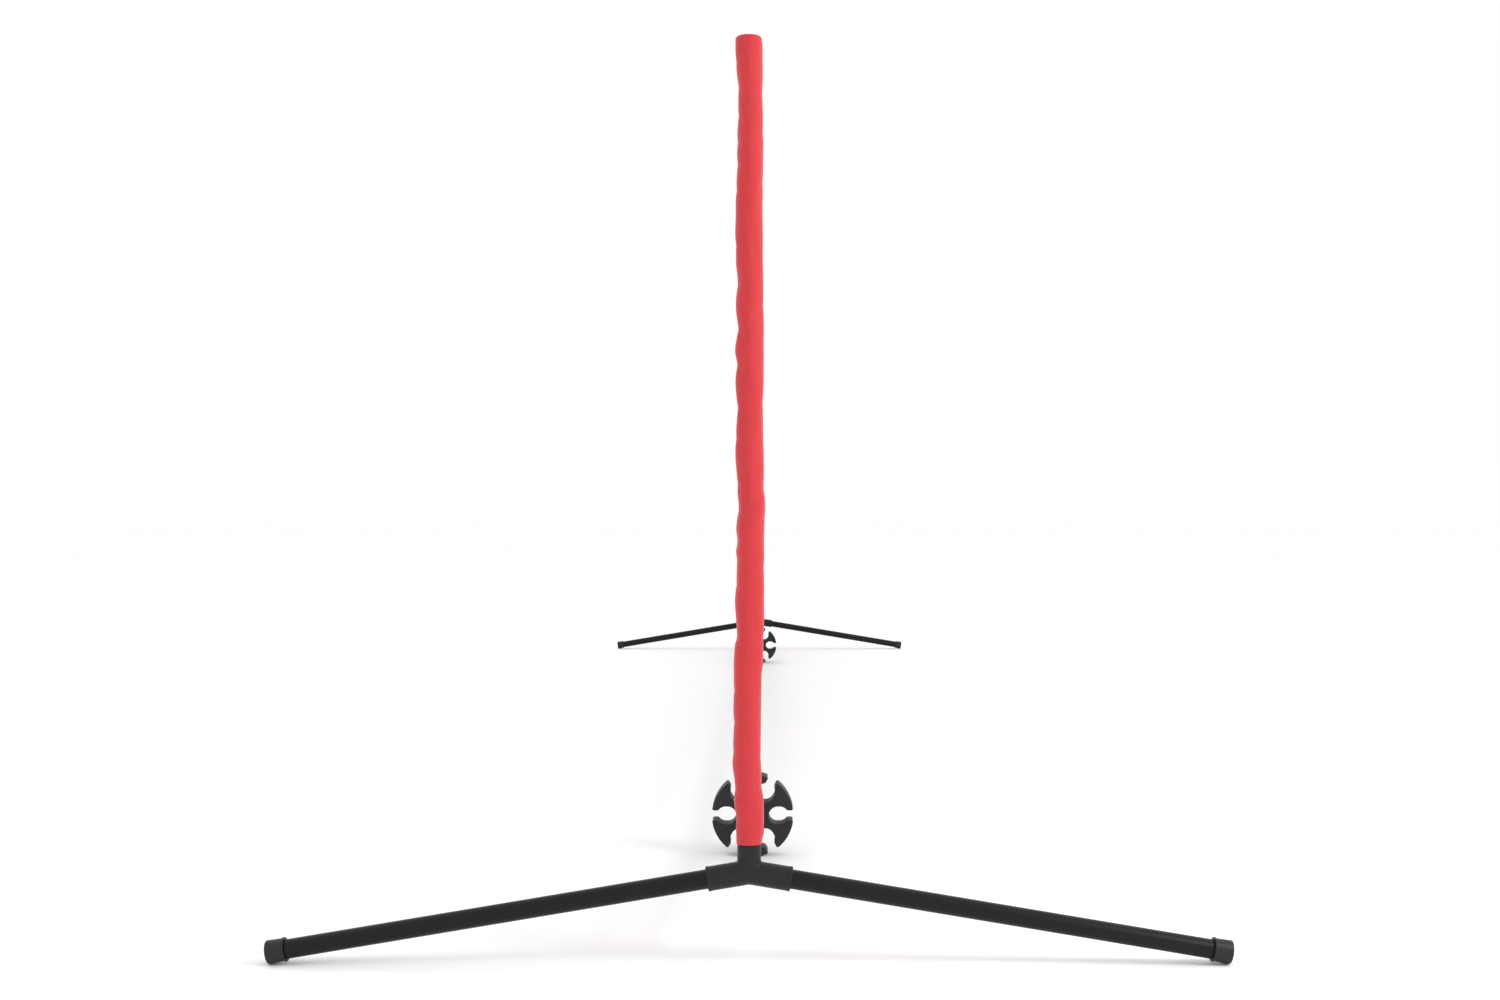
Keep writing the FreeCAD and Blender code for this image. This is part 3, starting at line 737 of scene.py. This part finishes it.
def tape_stitches(tape, settings):
    """A row of stitches along each side of a tape by its sewn edge, and one across each end."""
    points, directions = [], []
    pitch = settings.stitch_pitch
    proud = settings.cloth_thick * STITCH_STAND
    count = int(2 * TAPE_HALF / pitch)
    rungs = int((tape.high - tape.low - 0.010) / pitch)
    for side in (-1, 1):
        normal = Vector((side, 0, 0))
        places = [(TAPE_SEAM, -TAPE_HALF + (i + 0.5) * pitch) for i in range(count)]
        along = [Vector((0, 1, 0))] * count
        for end in (-1, 1):
            y = end * (TAPE_HALF - TAPE_SEAM)
            places += [(TAPE_SEAM + (i + 1) * pitch, y) for i in range(rungs)]
            along += [Vector((0, 0, 1))] * rungs
        for (s, y), way in zip(places, along):
            points.append(tape_place(tape, s, y, side) + normal * proud)
            directions.append((way, normal))
    verts, faces = stitch_row(points, directions, pitch)
    return mesh_from(tape.node + "_stitches", verts, faces)


NET_SEED = 6.0
# How far the threads run on into the tapes and the flaps.
INTO_TAPE = 6 * MM
INTO_FLAP = Vector((0, 6 * MM, 0))
# How far the net bellies out of its plane, and how far its knots are off their even places.
BELLY = 9 * MM
KNOT_SLIP = 2.2 * MM


def net_point(column, row, columns, rows):
    """The knot at a column and row of the net, hung between the tapes with a little give."""
    y = -NET_HALF + 2 * NET_HALF * column / columns
    up = row / rows
    low, high = MESH_FOOT - INTO_TAPE, MESH_TOP + INTO_TAPE
    z = low + (high - low) * up - sag_at(y)
    edge = min(up, 1 - up) * 2
    from_end = NET_HALF - abs(y)
    ends = ease(from_end / 0.06)
    where = Vector((column * 0.37, row * 0.53, NET_SEED))
    x = tape_drift(y, TOP.seed) * up + tape_drift(y, BOTTOM.seed) * (1 - up)
    x = x * ease(from_end / DRIFT_FROM)
    x += noise.noise(Vector((y / 0.3, z / 0.25, NET_SEED))) * BELLY * ease(edge * 1.6) * ends
    y += noise.noise(where) * KNOT_SLIP * ends
    z += noise.noise(where + Vector((3, 9, 2))) * KNOT_SLIP * ease(edge * 6)
    return Vector((x, y, z))


def thread_runs(columns, rows):
    """Every thread of the net as a list of points, with a middle point in each square's side, and
    the grid of the knots."""
    def run(knots):
        points = []
        for a, b in zip(knots, knots[1:]):
            points += [a, a.lerp(b, 0.5)]
        return points + [knots[-1]]
    grid = [
        [net_point(column, row, columns, rows) for row in range(rows + 1)]
        for column in range(columns + 1)
    ]
    across = [
        run([grid[0][r] - INTO_FLAP] + [column[r] for column in grid] + [grid[-1][r] + INTO_FLAP])
        for r in range(1, rows)
    ]
    upright = [run(grid[c]) for c in range(1, columns)]
    return across, upright, grid


def make_threads(name, runs, thick):
    """Round threads along the runs: a curve with a bevel, made a mesh."""
    curve = bpy.data.curves.new(name, "CURVE")
    curve.dimensions = "3D"
    curve.bevel_depth = thick / 2
    curve.bevel_resolution = 1
    curve.use_fill_caps = True
    for points in runs:
        spline = curve.splines.new("POLY")
        spline.points.add(len(points) - 1)
        for spot, point in zip(spline.points, points):
            spot.co = (*point, 1)
    piece = bpy.data.objects.new(name, curve)
    bpy.context.scene.collection.objects.link(piece)
    make_active(piece)
    bpy.ops.object.convert(target="MESH")
    piece = bpy.context.object
    piece.name = name
    clean(piece)
    smooth(piece, 80)
    return piece


def make_knots(name, grid, thick):
    """A small tight knot at every crossing: one spindle of a few faces, copied."""
    verts, faces = [], []
    around = 6
    for column in grid[1:-1]:
        for point in column[1:-1]:
            turn = noise.noise(point * 40) * 0.6
            start = len(verts)
            for level, wide in ((-1.25, 0.45), (-0.55, 1.0), (0.55, 1.0), (1.25, 0.45)):
                for k in range(around):
                    a = 2 * math.pi * k / around + turn
                    ring = Vector((math.cos(a) * wide, math.sin(a) * wide * 1.15, level))
                    verts.append(point + ring * thick * 1.05)
            for ring in range(3):
                low = start + ring * around
                for k in range(around):
                    ahead = (k + 1) % around
                    faces.append((low + k, low + ahead, low + around + ahead, low + around + k))
            faces.append(tuple(start + k for k in reversed(range(around))))
            faces.append(tuple(start + 3 * around + k for k in range(around)))
    return mesh_from(name, verts, faces, 80)


# ---- Turned and moulded parts ----

# The same sizes as in the CAD.
JUNCTION = Vector((0, POST_Y["front"], 0.09025))
BAR_KINK = Vector((0, POST_Y["front"] + 0.49495, 0.053))
BAR_WAY = (BAR_KINK - JUNCTION).normalized()
UP = Vector((0, 0, 1))
ALONG = Vector((0, 1, 0))
TUBE_RADIUS = 0.0095
TUBE_BORE = 0.0085
SWAGE_RADIUS = 0.0084
SWAGE_BORE = 0.0075
SWAGE_LENGTH = 0.040
SWAGE_TAPER = 0.004
LEG_REACH = 0.4806
CAP_LENGTH = 0.0187
CAP_FLOOR = 0.0026
BAR_JOINT = 0.4985
BUTTON_INSET = 0.020
BUTTON_HOLE = 0.00305
RING_FROM = 0.5593
ARM_RADIUS = 0.012
SOCKET_RADIUS = 0.01175
ARM_REACH = 0.0422
BORE_START = 0.013
BORE_RADIUS = 0.00955
BEAD_LENGTH = 0.0026
BEAD_STAND = 0.0004
ELBOW_REACH = 0.0298
ELBOW_WEB = 0.003
RING_RADIUS = 0.0135
RING_LENGTH = 0.008
CAP_BEAD_RADIUS = 0.0120
CAP_BEAD_LENGTH = 0.0018
CAP_NECK_RADIUS = 0.0112
CAP_FOOT_RADIUS = 0.0116
# How far the corners of tubes, and of mouldings, are rounded.
TUBE_EASE = 0.8 * MM
MOULD_EASE = 1.2 * MM
TURN_STEPS = 72
# Rounds of smoothing that melt a moulding's arms together.
MELT = 22


def joint_axis(name):
    """The way that a joint of the frame moves or turns about."""
    joints = {joint["name"]: joint for joint in frame["joints"]}
    return Vector(joints[name]["axis"]).normalized()


def soften(outline, size):
    """Rounds the corners of an outline that aren't on its axis, each by at most a third of its
    shorter side."""
    made = []
    for i, corner in enumerate(outline):
        here = Vector(corner)
        if here.x == 0:
            made.append(here)
            continue
        before = Vector(outline[i - 1]) - here
        after = Vector(outline[(i + 1) % len(outline)]) - here
        reach = min(size, before.length / 3, after.length / 3)
        start, end = here + before.normalized() * reach, here + after.normalized() * reach
        for t in (0, 0.25, 0.5, 0.75, 1):
            made.append(start * (1 - t) ** 2 + here * 2 * t * (1 - t) + end * t ** 2)
    return made


def turn_outline(name, outline, start, way):
    """Turns an outline of (radius, distance) points about the line from a start along a way."""
    deselect()
    bpy.ops.mesh.primitive_circle_add(vertices=len(outline), fill_type="NOTHING")
    piece = bpy.context.object
    for vertex, (radius, distance) in zip(piece.data.vertices, outline):
        vertex.co = (radius, 0, distance)
    bpy.ops.object.mode_set(mode="EDIT")
    bpy.ops.mesh.select_all(action="SELECT")
    bpy.ops.mesh.spin(steps=TURN_STEPS, angle=2 * math.pi, center=(0, 0, 0), axis=(0, 0, 1))
    bpy.ops.object.mode_set(mode="OBJECT")
    clean(piece)
    piece.location = start
    piece.rotation_euler = way.to_track_quat("Z", "Y").to_euler()
    settle(piece, name)
    smooth(piece, 35)
    return piece


def make_tube(name, start, way, length, swaged=False):
    """A round tube with eased ends. A swaged one ends in a narrower neck that enters the next."""
    outline = [(TUBE_BORE, 0), (TUBE_RADIUS, 0), (TUBE_RADIUS, length), (TUBE_BORE, length)]
    if swaged:
        neck, tip = length - SWAGE_TAPER, length + SWAGE_LENGTH
        outline[2:] = [
            (TUBE_RADIUS, neck), (SWAGE_RADIUS, length), (SWAGE_RADIUS, tip),
            (SWAGE_BORE, tip), (SWAGE_BORE, length), (TUBE_BORE, neck),
        ]
    return turn_outline(name, soften(outline, TUBE_EASE), start, way)


def make_cap(name, way):
    """A moulded cup with a bead round its mouth, flaring slightly to its foot."""
    inside = CAP_LENGTH - CAP_FLOOR
    outline = [
        (0, inside), (BORE_RADIUS, inside), (BORE_RADIUS, 0), (CAP_BEAD_RADIUS, 0),
        (CAP_BEAD_RADIUS, CAP_BEAD_LENGTH), (CAP_NECK_RADIUS, CAP_BEAD_LENGTH + 0.2 * MM),
        (CAP_FOOT_RADIUS, CAP_LENGTH), (0, CAP_LENGTH),
    ]
    start = JUNCTION + way * (LEG_REACH - CAP_LENGTH)
    return turn_outline(name, soften(outline, MOULD_EASE), start, way)


def add_rod(centre, way, start, end, radius):
    """A round rod along a way from a centre, between two distances from it."""
    bpy.ops.mesh.primitive_cylinder_add(
        vertices=96, radius=radius, depth=end - start, location=centre + way * (start + end) / 2,
        rotation=way.to_track_quat("Z", "Y").to_euler(),
    )
    return bpy.context.object


def join(pieces, name):
    make_active(pieces[0])
    for piece in pieces:
        piece.select_set(True)
    if len(pieces) > 1:
        bpy.ops.object.join()
    return settle(bpy.context.object, name)


def drill(piece, drills, name):
    """Cuts rods out of a piece."""
    cutter = join(drills, name)
    apply_modifier(piece, "BOOLEAN", operation="DIFFERENCE", object=cutter, solver="EXACT")
    bpy.data.objects.remove(cutter)
    clean(piece)
    smooth(piece, 40)


def make_moulding(name, centre, arms, bore_start, voxel):
    """Rods of (way, reach, radius, bead) melted together round a ball, then bored from each end."""
    deselect()
    bpy.ops.mesh.primitive_uv_sphere_add(
        segments=64, ring_count=32, radius=ARM_RADIUS, location=centre
    )
    rods = [bpy.context.object]
    for way, reach, radius, bead in arms:
        rods.append(add_rod(centre, way, 0, reach, radius))
        if bead:
            rods.append(add_rod(centre, way, reach - BEAD_LENGTH, reach, radius + bead))
    piece = join(rods, name)
    apply_modifier(piece, "REMESH", mode="VOXEL", voxel_size=voxel)
    apply_modifier(piece, "SMOOTH", factor=0.5, iterations=MELT)
    bores = [add_rod(centre, way, bore_start, reach + 0.01, BORE_RADIUS) for way, reach, *_ in arms]
    drill(piece, bores, name + "_bores")
    return piece


# ---- Operators ----

FLOOR_SIDE = 400
# The floor lies just under the object, so that nothing flickers where they touch.
FLOOR_GAP = 0.2 * MM
# How far the camera stands to the right of the net's plane, and its lens's shift.
EYE_ASIDE = 0.01415
LENS_SHIFT = (-0.00904, 0.01173)


class NET_OT_post_sleeves(bpy.types.Operator):
    """Sew the two post sleeves"""
    bl_idname = "net.post_sleeves"
    bl_label = "Post sleeves"

    def execute(self, context):
        cloth = context.scene.net_cloth
        red = woven_polyester("Woven polyester, red, sleeves", cloth.red, LOOP_LENGTH, HEIGHT)
        thread = spun_thread("Spun sewing thread, sleeves", cloth.thread)
        front = make_sleeve(cloth)
        front_sewn = sleeve_stitches(cloth)
        back = copy_turned(front, "post_sleeve_cloth_back")
        back_sewn = copy_turned(front_sewn, "sleeve_stitches_back")
        for stand, sleeve, stitches in (("front", front, front_sewn), ("back", back, back_sewn)):
            finish_piece(sleeve, red, "net_and_posts", "sleeve", "post_sleeve_" + stand)
            finish_piece(stitches, thread, "net_and_posts", "sleeve")
        return {"FINISHED"}


class NET_OT_net_and_tapes(bpy.types.Operator):
    """Knot the net and sew its top and bottom tapes"""
    bl_idname = "net.net_and_tapes"
    bl_label = "Net and tapes"

    def execute(self, context):
        cloth = context.scene.net_cloth
        columns = round(2 * NET_HALF / cloth.square)
        rows = round((MESH_TOP - MESH_FOOT) / cloth.square)
        across, upright, grid = thread_runs(columns, rows)
        twine = knotted_twine(cloth.twine)
        net = make_threads("net_twine", across + upright, cloth.twine_thick)
        knots = make_knots("net_knots", grid, cloth.twine_thick)
        finish_piece(net, twine, "net_and_posts", "mesh", "net_mesh")
        finish_piece(knots, twine, "net_and_posts", "mesh")

        thread = spun_thread("Spun sewing thread, tapes", cloth.thread)
        for tape, held, extra in ((TOP, "stretched", [net, knots]), (BOTTOM, "hung", [])):
            flat = (2 * (tape.high - tape.low), 2 * TAPE_HALF)
            red = woven_polyester("Woven polyester, red, " + tape.node, cloth.red, *flat)
            piece = make_tape(tape, cloth.cloth_thick)
            sewn = tape_stitches(tape, cloth)
            finish_piece(piece, red, "net_and_posts", "tape", tape.node)
            finish_piece(sewn, thread, "net_and_posts", "tape")
        return {"FINISHED"}


class NET_OT_mouldings(bpy.types.Operator):
    """Mould the connectors and the elbows, with rounded roots between their arms"""
    bl_idname = "net.mouldings"
    bl_label = "Connectors and elbows"

    def execute(self, context):
        look = context.scene.net_frame
        plastic = moulded_plastic("Moulded polypropylene, fittings", look.fitting, 0.5, 0.5)
        connector_arms = [
            (joint_axis("leg_pull_front_left"), ARM_REACH, ARM_RADIUS, BEAD_STAND),
            (joint_axis("leg_pull_front_right"), ARM_REACH, ARM_RADIUS, BEAD_STAND),
            (BAR_WAY, ARM_REACH, ARM_RADIUS, BEAD_STAND),
            (UP, ARM_REACH, SOCKET_RADIUS, 0),
        ]
        elbow_arms = [(-BAR_WAY, ELBOW_REACH, ARM_RADIUS, 0), (ALONG, ELBOW_REACH, ARM_RADIUS, 0)]
        for node, slot, centre, arms, bore_start in (
            ("base_connector", "connector", JUNCTION, connector_arms, BORE_START),
            ("bar_elbow", "elbow", BAR_KINK, elbow_arms, ELBOW_WEB),
        ):
            front = make_moulding(node + "_moulding_front", centre, arms, bore_start, look.voxel)
            finish_base_pair(front, node + "_moulding_back", plastic, slot, node)
        return {"FINISHED"}


class NET_OT_legs(bpy.types.Operator):
    """Turn the four leg tubes and their caps"""
    bl_idname = "net.legs"
    bl_label = "Legs"

    def execute(self, context):
        look = context.scene.net_frame
        steel = powder_coated_steel(look.powder)
        plastic = moulded_plastic("Moulded polypropylene, caps", look.cap, 0.5, 0.46)
        for side, opposite in (("left", "right"), ("right", "left")):
            way = joint_axis("leg_pull_front_" + side)
            start = JUNCTION + way * BORE_START
            length = LEG_REACH - CAP_FLOOR - BORE_START
            tube = make_tube("leg_tube_turned_front_" + side, start, way, length)
            cap = make_cap("leg_cap_turned_front_" + side, way)
            for front, material, slot in ((tube, steel, "tube"), (cap, plastic, "cap")):
                node = f"leg_{slot}_"
                # Turned half round, a front leg is the back stand's leg on the other side.
                back = copy_turned(front, f"leg_{slot}_turned_back_{opposite}")
                finish_piece(front, material, "leg_front_" + side, slot, node + "front_" + side)
                body = "leg_back_" + opposite
                finish_piece(back, material, body, slot, node + "back_" + opposite)
        return {"FINISHED"}


class NET_OT_ground_bar(bpy.types.Operator):
    """Turn the ground bar's tubes and the rings that hold its wheels"""
    bl_idname = "net.ground_bar"
    bl_label = "Ground bar"

    def execute(self, context):
        look = context.scene.net_frame
        steel = powder_coated_steel(look.powder)
        rubber = moulded_rubber(look.rubber)
        axis = Vector((0, 0, BAR_KINK.z))
        to_kink = (BAR_KINK - JUNCTION).length
        end_front = make_tube(
            "ground_tube_turned_end_front", JUNCTION + BAR_WAY * BORE_START, BAR_WAY,
            to_kink - BORE_START - ELBOW_WEB,
        )
        end_back = copy_turned(end_front, "ground_tube_turned_end_back")
        first = BAR_KINK.y + ELBOW_WEB
        outer = -BAR_JOINT - first
        mid_front = make_tube(
            "ground_tube_turned_mid_front", axis + ALONG * first, ALONG, outer, True
        )
        center = make_tube(
            "ground_tube_turned_mid_center", axis - ALONG * BAR_JOINT, ALONG, 2 * BAR_JOINT, True
        )
        mid_back = make_tube("ground_tube_turned_mid_back", axis + ALONG * BAR_JOINT, ALONG, outer)
        for joint, tubes in ((-BAR_JOINT, (mid_front, center)), (BAR_JOINT, (center, mid_back))):
            for tube in tubes:
                # Only the tube's upper wall is drilled.
                spot = axis + ALONG * (joint + BUTTON_INSET)
                rod = add_rod(spot, UP, 0.002, 2 * TUBE_RADIUS, BUTTON_HOLE)
                drill(tube, [rod], "button_drill")
        for piece, node in (
            (end_front, "end_front"), (end_back, "end_back"), (mid_front, "mid_front"),
            (center, "mid_center"), (mid_back, "mid_back"),
        ):
            finish_piece(piece, steel, "base_frame", "tube", "ground_tube_" + node)

        outline = [
            (TUBE_RADIUS, 0), (RING_RADIUS, 0),
            (RING_RADIUS, RING_LENGTH), (TUBE_RADIUS, RING_LENGTH),
        ]
        start = axis + ALONG * (POST_Y["front"] + RING_FROM)
        outline = soften(outline, MOULD_EASE)
        ring = turn_outline("wheel_stop_ring_turned_front", outline, start, ALONG)
        finish_base_pair(ring, "wheel_stop_ring_turned_back", rubber, "ring", "wheel_stop_ring")
        return {"FINISHED"}


class NET_OT_cad_finishes(bpy.types.Operator):
    """Finish the posts, their plugs, the wheels and the buttons, which keep their CAD shapes"""
    bl_idname = "net.cad_finishes"
    bl_label = "Posts, wheels and buttons"

    def execute(self, context):
        look = context.scene.net_frame
        finishes = (
            ("post_tube", powder_coated_steel(look.powder)),
            ("post_plug", moulded_plastic("Moulded polypropylene, plugs", look.cap, 0.5, 0.5)),
            ("support_wheel", moulded_plastic("Moulded polypropylene, wheels", look.wheel, 0.6, 0.55)),
            ("snap_button", plated_steel(look.zinc)),
        )
        for kind, material in finishes:
            for stand in STANDS:
                node = frame["nodes"][f"{kind}_{stand}"]
                node.data.materials.clear()
                node.data.materials.append(material)
        return {"FINISHED"}


class NET_OT_stage(bpy.types.Operator):
    """Set the floor, the soft light and the camera"""
    bl_idname = "net.stage"
    bl_label = "Stage"

    def execute(self, context):
        settings = context.scene.net_stage
        deselect()
        bpy.ops.mesh.primitive_plane_add(size=FLOOR_SIDE, location=(0, 0, -FLOOR_GAP))
        floor = bpy.context.object
        floor.name = "floor"
        # Seamless studio paper: matte and nearly even.
        paper, tree, shader, place = new_material("Pale seamless paper")
        tone = mottle(tree, place, 333, settings.floor, 0.995, 1, Detail=2)[1]
        feed(tree, shader, {"Base Color": tone, "Roughness": 0.95, "Specular IOR Level": 0.1})
        floor.data.materials.append(paper)

        world = bpy.data.worlds.new("Soft white studio")
        context.scene.world = world
        world.use_nodes = True
        sky = world.node_tree.nodes["Background"]
        feed(world.node_tree, sky, {"Color": (1, 1, 1, 1), "Strength": 1})

        eye = POST_Y["front"] - settings.eye_distance
        # Each lamp's place, the place along the net that it faces, its side and its power in watts.
        for name, spot, facing, side, power in (
            ("key_softbox", (1.9, eye + 1.0, 1.4), POST_Y["front"], 0.7, 21),
            ("fill_softbox", (-3.2, eye + 0.2, 1.8), POST_Y["front"], 2.6, 5),
            ("top_softbox", (0.3, 1.0, 3.5), 0, 3.0, 9),
        ):
            bpy.ops.object.light_add(type="AREA", location=spot)
            lamp = bpy.context.object
            lamp.name = name
            lamp.data.size = side
            lamp.data.energy = power
            lamp.visible_camera = False
            aim = Vector((0, facing, 0.4)) - Vector(spot)
            lamp.rotation_euler = aim.to_track_quat("-Z", "Y").to_euler()

        bpy.ops.object.camera_add(
            location=(EYE_ASIDE, eye, settings.eye_height), rotation=(math.pi / 2, 0, 0)
        )
        camera = bpy.context.object
        camera.name = "camera"
        camera.data.sensor_width = 36
        camera.data.lens = settings.lens
        camera.data.shift_x, camera.data.shift_y = LENS_SHIFT
        camera.data.clip_end = 2 * FLOOR_SIDE
        context.scene.camera = camera
        context.scene.view_settings.view_transform = "Standard"
        return {"FINISHED"}


class NET_PT_panel(bpy.types.Panel):
    """The net's settings and steps"""
    bl_label = "Practice net"
    bl_space_type = "VIEW_3D"
    bl_region_type = "UI"
    bl_category = "Net"

    def draw(self, context):
        layout = self.layout
        for group in (context.scene.net_cloth, context.scene.net_frame, context.scene.net_stage):
            box = layout.box()
            for name in group.__annotations__:
                box.prop(group, name)
        for operator in OPERATORS:
            layout.operator(operator.bl_idname)


OPERATORS = (
    NET_OT_stage, NET_OT_cad_finishes, NET_OT_mouldings, NET_OT_legs, NET_OT_ground_bar,
    NET_OT_net_and_tapes, NET_OT_post_sleeves,
)
GROUPS = {
    "net_cloth": NetClothSettings,
    "net_frame": NetFrameSettings,
    "net_stage": NetStageSettings,
}
CLASSES = (*GROUPS.values(), *OPERATORS, NET_PT_panel)


def register():
    for cls in CLASSES:
        bpy.utils.register_class(cls)
    for name, group in GROUPS.items():
        setattr(bpy.types.Scene, name, PointerProperty(type=group))


def unregister():
    for name in GROUPS:
        delattr(bpy.types.Scene, name)
    for cls in reversed(CLASSES):
        bpy.utils.unregister_class(cls)


def main():
    register()
    bpy.ops.net.stage()
    bpy.ops.net.cad_finishes()
    bpy.ops.net.mouldings()
    bpy.ops.net.legs()
    bpy.ops.net.ground_bar()
    bpy.ops.net.net_and_tapes()
    bpy.ops.net.post_sleeves()


if __name__ == "__main__":
    main()
